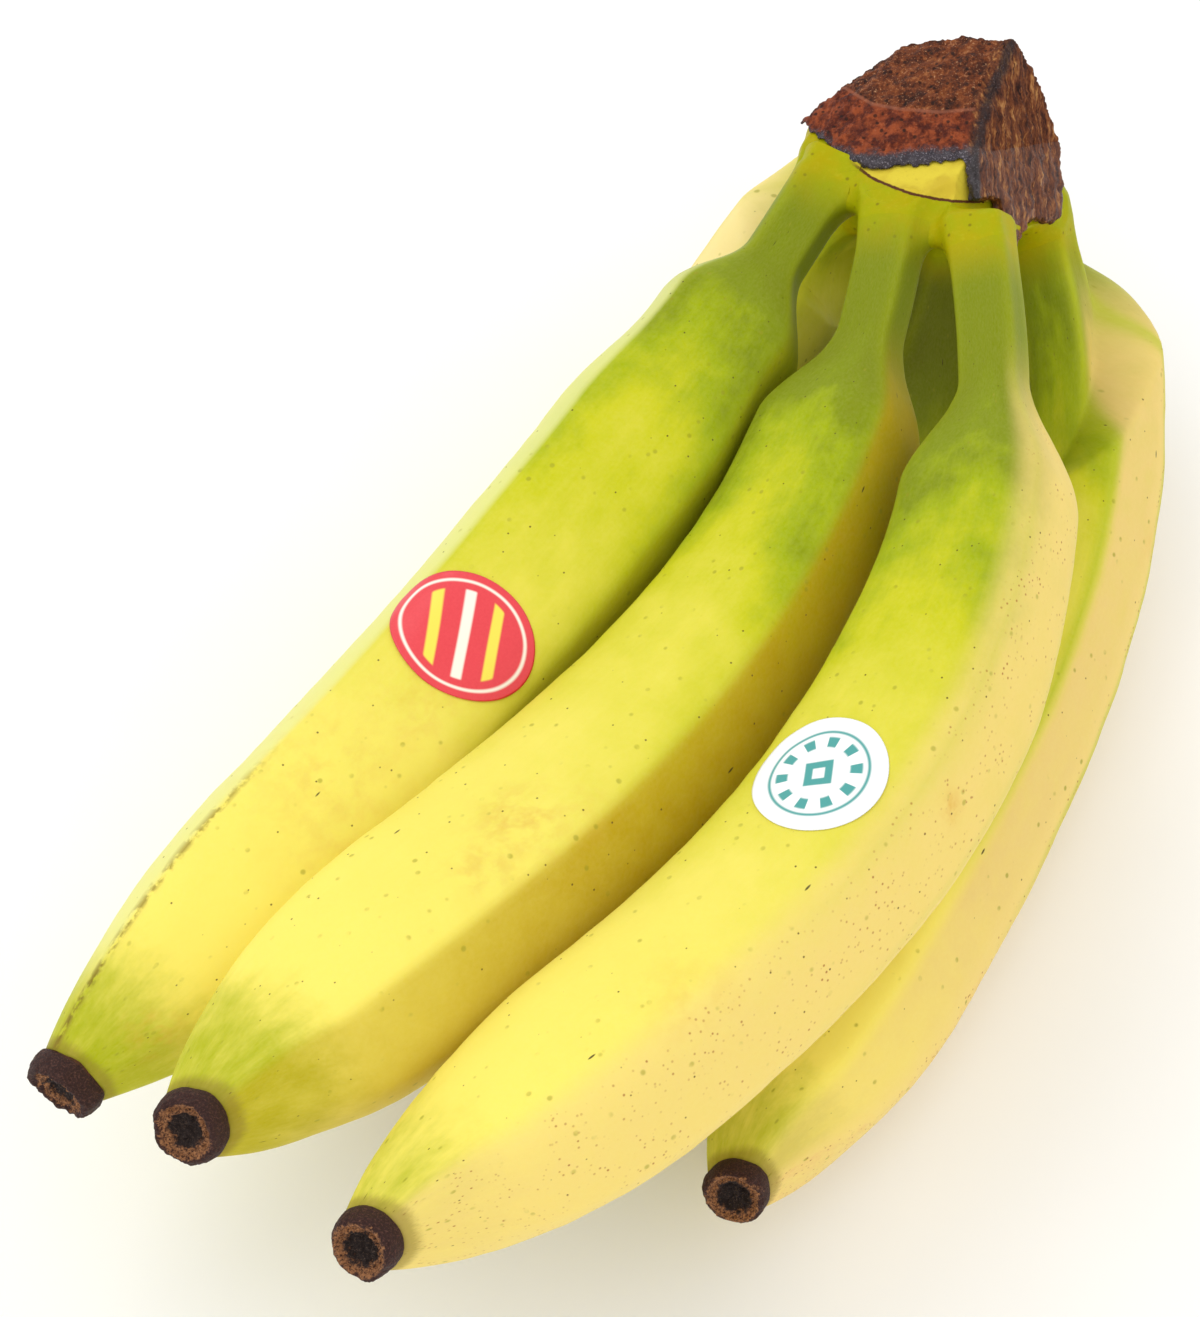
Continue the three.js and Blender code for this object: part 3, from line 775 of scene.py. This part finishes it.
def stickerPoints(sticker):
    finger = shapes[sticker["finger"]]
    middle = np.array([[sticker["along"]]]), np.array([[float(sticker["around"])]])
    across = finger.radius(*middle)[0, 0]
    share, spin = np.meshgrid(np.linspace(0.01, 1, stickerMesh["rings"]),
                              np.linspace(0, 2 * np.pi, stickerMesh["spokes"], endpoint=False), indexing="ij")
    along = sticker["along"] + share * sticker["halfLength"] * np.cos(spin) / finger.length
    angles = sticker["around"] + np.degrees(share * sticker["halfWidth"] * np.sin(spin) / across)
    # the skin below is uneven too, so the sticker takes the same relief
    seed = list(shapes).index(sticker["finger"])
    relief = unevenness(finger.skin(along, angles).reshape(-1, 3), seed).reshape(along.shape)
    curl = stickerMesh["curl"] * smoothstep(share, 0.9, 1.0) * np.maximum(0, np.sin(3 * spin))
    base = relief - fingerMesh["smaller"] + stickerMesh["lift"] + curl
    over = finger.skin(along, angles, base + stickerMesh["thickness"])
    under = finger.skin(along, angles, base)
    grid = np.concatenate([over, under[::-1]])
    turn = math.radians(sticker["turn"])
    x, y = share * np.cos(spin), share * np.sin(spin)
    flat = np.stack([x * math.cos(turn) - y * math.sin(turn),
                     x * math.sin(turn) + y * math.cos(turn), 0 * x], -1)
    return grid, np.concatenate([flat, flat[::-1]])


def stickerPaint(name, draw):
    paint = Paint(name, Coat_Weight=0.25, Coat_Roughness=0.2)
    flat = paint.attribute("stickerPlace", "Vector")
    parts = [paint.node("ShaderNodeSeparateXYZ", {}, {0: flat}, i) for i in (0, 1)]
    out = paint.node("ShaderNodeVectorMath", {"operation": "LENGTH"}, {0: flat}, "Value")
    ink = paint.noise(paint.place(), 2.2, 3, 0.6)
    paint.set("Base Color", draw(paint, parts[0], parts[1], out, ink))
    paint.set("Roughness", 0.28 + ink * 0.18)
    paint.set("Normal", paint.bump(ink, 0.04, 0.5))
    return paint


def near(paint, value, middle, half):  # 1 where a value is within half of the middle
    gap = paint.node("ShaderNodeMath", {"operation": "ABSOLUTE"}, {0: value - middle})
    return 1 - paint.step(gap, half - 0.02, half + 0.02)


def drawRed(paint, x, y, out, ink):
    yellow, cream = stickerInk["yellow"], stickerInk["cream"]
    colour = paint.blend(ink, stickerInk["red"], stickerInk["redLight"])
    inside = 1 - paint.step(out, 0.7, 0.74)
    for middle, code in ((0.42, yellow), (0.0, cream), (-0.42, yellow)):
        colour = paint.blend(near(paint, y, middle, 0.075) * inside, colour, code)
    return paint.blend(near(paint, out, 0.86, 0.022), colour, cream)


def drawWhite(paint, x, y, out, ink):
    teal = stickerInk["teal"]
    colour = paint.blend(ink, stickerInk["white"], stickerInk["whiteLight"])
    turn = paint.node("ShaderNodeMath", {"operation": "ARCTAN2"}, {0: y, 1: x})
    wave = paint.node("ShaderNodeMath", {"operation": "SINE"}, {0: turn * 10})
    dots = near(paint, out, 0.56, 0.09) * paint.step(wave, 0.1, 0.3)
    colour = paint.blend(dots, colour, teal)
    colour = paint.blend(near(paint, out, 0.74, 0.022), colour, teal)
    square = near(paint, x + y, 0.0, 0.3) * near(paint, x - y, 0.0, 0.3)
    hole = near(paint, x + y, 0.0, 0.13) * near(paint, x - y, 0.0, 0.13)
    return paint.blend(square * (1 - hole), colour, teal)


for name, sticker in stickers.items():
    grid, flat = stickerPoints(sticker)
    draw = drawRed if name == "sticker_red_oval" else drawWhite
    meshPiece(f"paper_{sticker['slot']}", closed(grid), tubeFaces(*grid.shape[:2]),
              stickerPaint(name, draw), sticker["slot"], name, stickerPlace=closed(flat))
print("stickers made")

# Crown

crownLook = {
    "voxel": 0.45,
    "facing": [0.68, -0.25, 0.68], "rise": [-0.07, 0.91, 0.41], "corner": [65, 80, 72],  # of the torn side
    # from dark to light
    "cut": [(0.34, "#1e0c06"), (0.45, "#4c2210"), (0.55, "#7c3e1c"), (0.66, "#a8683a")],
    "torn": [(0.32, "#1c0e0a"), (0.43, "#4c2618"), (0.54, "#7c4526"), (0.63, "#b27b45"),
             (0.76, "#d9b07a")],
    "lower": "#511a0c", "lowerLight": "#a04a24", "speckle": "#cf9d72", "pit": "#1c0a06",
    "groove": "#a8654a", "lip": "#332a33", "lipGlint": "#8f8790", "fold": "#2a2223",
    "foldGlint": "#5e5557",
}


# A fine, even mesh over a CAD node's solid
def finerMesh(name, node, voxel):
    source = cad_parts[node].data.copy()
    shell = bmesh.new()
    shell.from_mesh(source)
    bmesh.ops.remove_doubles(shell, verts=shell.verts, dist=1e-6)
    shell.to_mesh(source)
    shell.free()
    piece = bpy.data.objects.new(name, source)
    bpy.context.scene.collection.objects.link(piece)
    return evenMesh(piece, voxel)


def evenMesh(piece, voxel):
    remesh = piece.modifiers.new("even", "REMESH")
    remesh.mode, remesh.voxel_size, remesh.adaptivity = "VOXEL", voxel * metresPerMm, 0.0
    whole = bpy.data.meshes.new_from_object(piece.evaluated_get(bpy.context.evaluated_depsgraph_get()))
    piece.modifiers.clear()
    piece.data = whole
    while whole.attributes.get("custom_normal"):
        whole.attributes.remove(whole.attributes["custom_normal"])
    whole.polygons.foreach_set("use_smooth", [True] * len(whole.polygons))
    return piece


def pointsOf(mesh):
    points = np.empty(len(mesh.vertices) * 3)
    mesh.vertices.foreach_get("co", points)
    return points.reshape(-1, 3) / metresPerMm


def normalsOf(mesh):
    normals = np.empty(len(mesh.vertices) * 3)
    mesh.vertex_normals.foreach_get("vector", normals)
    return normals.reshape(-1, 3)


def putPoints(mesh, points):
    mesh.vertices.foreach_set("co", (points * metresPerMm).ravel())
    mesh.update()


# Each point moved towards the middle of its neighbours, some rounds over
def relaxed(mesh, points, rounds, share=0.5):
    edges = np.empty(len(mesh.edges) * 2, dtype=int)
    mesh.edges.foreach_get("vertices", edges)
    a, b = edges.reshape(-1, 2).T
    count = np.bincount(a, minlength=len(points)) + np.bincount(b, minlength=len(points))
    for _ in range(rounds):
        total = np.stack([np.bincount(a, points[b, i], len(points))
                          + np.bincount(b, points[a, i], len(points)) for i in range(3)], 1)
        points = points + share * (total / count[:, None] - points)
    return points


def driedPiece():
    piece = finerMesh("dried_cut", "crown_dried_cut", crownLook["voxel"])
    mesh = piece.data
    points = relaxed(mesh, pointsOf(mesh), 4)
    putPoints(mesh, points)
    normals = normalsOf(mesh)
    facing, corner = unit(crownLook["facing"]), np.array(crownLook["corner"]) + fromFingers
    rise = unit(np.array(crownLook["rise"]) - np.dot(crownLook["rise"], facing) * facing)
    across = np.cross(rise, facing)
    local = points - corner
    torn = smoothstep(local @ facing, -1.4, -0.4) * smoothstep(local @ across, -1.6, -0.4)
    fibrePlace = np.stack([local @ across, (local @ rise) * 0.12, (local @ facing) * 0.5], 1)
    fibres = roughnessAt(fibrePlace, 0.9, 3, 2)
    lumps = roughnessAt(points, 3.0, 3, 4)
    pits = roughnessAt(points, 0.8, 2, 7)
    move = (1 - torn) * (0.55 * lumps + 0.28 * pits) + torn * (0.65 * fibres + 0.35 * lumps)
    ragged = roughnessAt(points, 1.6, 3, 9)
    sideways = unit(normals * [1, 1, 0.2] + 1e-6)
    points = points + normals * (move - 0.15)[:, None] + 0.35 * ragged[:, None] * sideways
    putPoints(mesh, points)
    seen = seenAt(points)
    storeAttributes(mesh, {
        "torn": torn, "lip": fromLine(seen, crownLines["lip"]), "band": fromLine(seen, crownLines["band"]),
        "fold": fromLine(seen, crownLines["fold"]), "fibrePlace": fibrePlace,
    })
    settle(piece, driedPaint(), "crown_dried", "crown_dried_cut")
    return piece


def driedPaint():
    look = crownLook
    paint = Paint("dried_crown_cut", Coat_Roughness=0.25, Specular_IOR_Level=0.2)
    place = paint.place()
    torn, lip, band = paint.attribute("torn"), paint.attribute("lip"), paint.attribute("band")
    blotch = paint.noise(place, 0.35, 3, 0.6)
    crumbs = paint.noise(place, 1.6, 4, 0.7)
    sparkle = paint.noise(place, 3.5, 2, 0.6)
    fibre = paint.noise(paint.attribute("fibrePlace", "Vector"), 1.9, 4, 0.7)
    patches = paint.noise(place, 0.42, 4, 0.62)
    cut = paint.node("ShaderNodeValToRGB", {"stops": look["cut"]}, {0: patches * 0.6 + crumbs * 0.4})
    lower = paint.step(patches * 0.75 + crumbs * 0.25, 0.4, 0.62)
    lower = paint.blend(lower, look["lower"], look["lowerLight"])
    below = 1 - paint.step(band + (blotch - 0.5) * 10, -4, 4)
    cut = paint.blend(below * 0.9, cut, lower)
    speckle = paint.step(sparkle * 0.5 + crumbs * 0.5, 0.56, 0.66) * (1 - below * 0.8)
    cut = paint.blend(speckle * 0.8, cut, look["speckle"])
    pits = 1 - paint.step(paint.cells(place, 0.6), 0.14, 0.28)
    cut = paint.blend(pits * 0.8, cut, look["pit"])
    bandGap = paint.node("ShaderNodeMath", {"operation": "ABSOLUTE"}, {0: band})
    groove = 1 - paint.step(bandGap, 0.5, 2.6)
    cut = paint.blend(groove * (0.25 + blotch) * 0.7, cut, look["groove"])
    lipMask = 1 - paint.step(lip + (blotch - 0.5) * 22 + (crumbs - 0.5) * 10, 5, 16)
    glint = paint.step(sparkle, 0.55, 0.72)
    cut = paint.blend(lipMask, cut, paint.blend(glint, look["lip"], look["lipGlint"]))
    side = paint.node("ShaderNodeValToRGB", {"stops": look["torn"]}, {0: fibre * 0.85 + blotch * 0.15})
    foldGap = paint.node("ShaderNodeMath", {"operation": "ABSOLUTE"}, {0: paint.attribute("fold")})
    foldMask = (1 - paint.step(foldGap + (blotch - 0.5) * 8, 2, 9)) * 0.85
    colour = paint.blend(torn, cut, side)
    colour = paint.blend(foldMask, colour, paint.blend(glint, look["fold"], look["foldGlint"]))
    paint.set("Base Color", colour)
    paint.set("Roughness", 0.62 - lipMask * 0.25 + crumbs * 0.2)
    paint.set("Coat Weight", lipMask * 0.4 + (1 - torn) * 0.06)
    height = crumbs * (1 - torn) + fibre * torn * 1.4
    paint.set("Normal", paint.bump(height, 0.5, 0.9))
    return paint


# The block and the roots of the necks, joined, laid on the one surface and cut off below the dried cut
def tissuePiece():
    shell = bmesh.new()
    for corner in np.array(crownShape["corners"], float) + fromFingers:
        shell.verts.new(corner * metresPerMm)
    bmesh.ops.convex_hull(shell, input=shell.verts)
    alongs = np.linspace(crownShape["stubFrom"], crownShape["stubTo"], crownShape["stubRings"])
    turns = np.linspace(-180, 180, crownShape["stubSpokes"], endpoint=False)
    along, angles = np.meshgrid(alongs, turns, indexing="ij")
    for shape in shapes.values():
        corners = [shell.verts.new(p * metresPerMm) for p in closed(shape.skin(along, angles))]
        for face in tubeFaces(*along.shape):
            shell.faces.new([corners[i] for i in face])
    mesh = bpy.data.meshes.new("crown_tissue")
    shell.to_mesh(mesh)
    shell.free()
    piece = bpy.data.objects.new("crown_tissue", mesh)
    bpy.context.scene.collection.objects.link(piece)
    for rounds in (5, 3):
        piece = evenMesh(piece, crownShape["voxel"])
        points = pointsOf(piece.data)
        points = ontoCrown(points, np.ones(len(points)), rounds)
        putPoints(piece.data, relaxed(piece.data, points, 2))
    mesh = piece.data
    points = pointsOf(mesh)
    points = points + normalsOf(mesh) * (0.1 * roughnessAt(points, 5, 2, 1))[:, None]
    for shape in shapes.values():
        gap, along = shape.outsideNeck(points)
        dive = smoothstep(along, crownShape["seam"], crownShape["seam"] * 1.5)
        sunk = crownShape["seamDepth"] * dive * (gap < crownShape["seamSide"])
        points = points + sunk[:, None] * unit(shape.frames(along)[0] - points)
    seamNormal = unit(crownShape["seamNormal"])
    seamHeight = seamNormal @ (np.array(crownShape["seamPoint"]) + fromFingers)
    points = points - np.maximum(0, points @ seamNormal - seamHeight)[:, None] * seamNormal
    facing, local = unit(crownLook["facing"]), points - np.array(crownLook["corner"]) - fromFingers
    high = smoothstep(local @ unit(crownLook["rise"]), crownShape["tornFrom"], crownShape["tornTo"])
    past = np.maximum(0, local @ facing + crownShape["tornGap"]) * high
    points = points - past[:, None] * facing
    putPoints(mesh, points)
    storeAttributes(mesh, crownMarks(points, normalsOf(mesh)))
    settle(piece, tissuePaint(), "crown_tissue", "crown_cushion")
    return piece


def tissuePaint():
    paint = Paint("crown_tissue", Specular_IOR_Level=skinLook["gloss"])
    grain = paint.noise(paint.place(), 1.2, 4, 0.65)
    paint.set("Base Color", freshColour(paint))
    paint.set("Roughness", 0.38 + grain * 0.15)
    paint.set("Normal", paint.bump(grain, 0.2, 0.5))
    return paint


driedPiece()
tissuePiece()
print("crown made")

# Floor and light

studio = {
    "floorHalf": 3.0, "floorHeight": -2e-4, "floor": "#fefefe", "floorShade": "#f9f9f8",
    # place, size and watts of each light
    "key": ((-0.7, 0.5, 1.5), 1.0, 4), "fill": ((0.4, -1.2, 1.0), 1.2, 1), "aim": (0, 0, 0.04),
    "world": 1.03,
}

floorMesh = bpy.data.meshes.new("floor")
half, height = studio["floorHalf"], studio["floorHeight"]
corners = [(-half, -half, height), (half, -half, height), (half, half, height), (-half, half, height)]
floorMesh.from_pydata(corners, [], [(0, 1, 2, 3)])
floor = bpy.data.objects.new("floor", floorMesh)
bpy.context.scene.collection.objects.link(floor)
floorPaint = Paint("pale_floor", Roughness=0.7)
patches = floorPaint.noise(floorPaint.place(), 0.02)
floorPaint.set("Base Color", floorPaint.blend(patches, studio["floor"], studio["floorShade"]))
floor.data.materials.append(floorPaint.material)


def areaLight(name, place, size, watts):
    data = bpy.data.lights.new(name, "AREA")
    data.shape, data.size, data.energy = "DISK", size, watts
    light = bpy.data.objects.new(name, data)
    light.location = place
    light.rotation_euler = (Vector(studio["aim"]) - Vector(place)).to_track_quat("-Z", "Y").to_euler()
    bpy.context.scene.collection.objects.link(light)


areaLight("key", *studio["key"])
areaLight("fill", *studio["fill"])

world = bpy.data.worlds.new("white_room")
world.use_nodes = True
world.node_tree.nodes["Background"].inputs["Color"].default_value = (1, 1, 1, 1)
world.node_tree.nodes["Background"].inputs["Strength"].default_value = studio["world"]
bpy.context.scene.world = world
bpy.context.scene.view_settings.view_transform = "Standard"

print("scene ready")
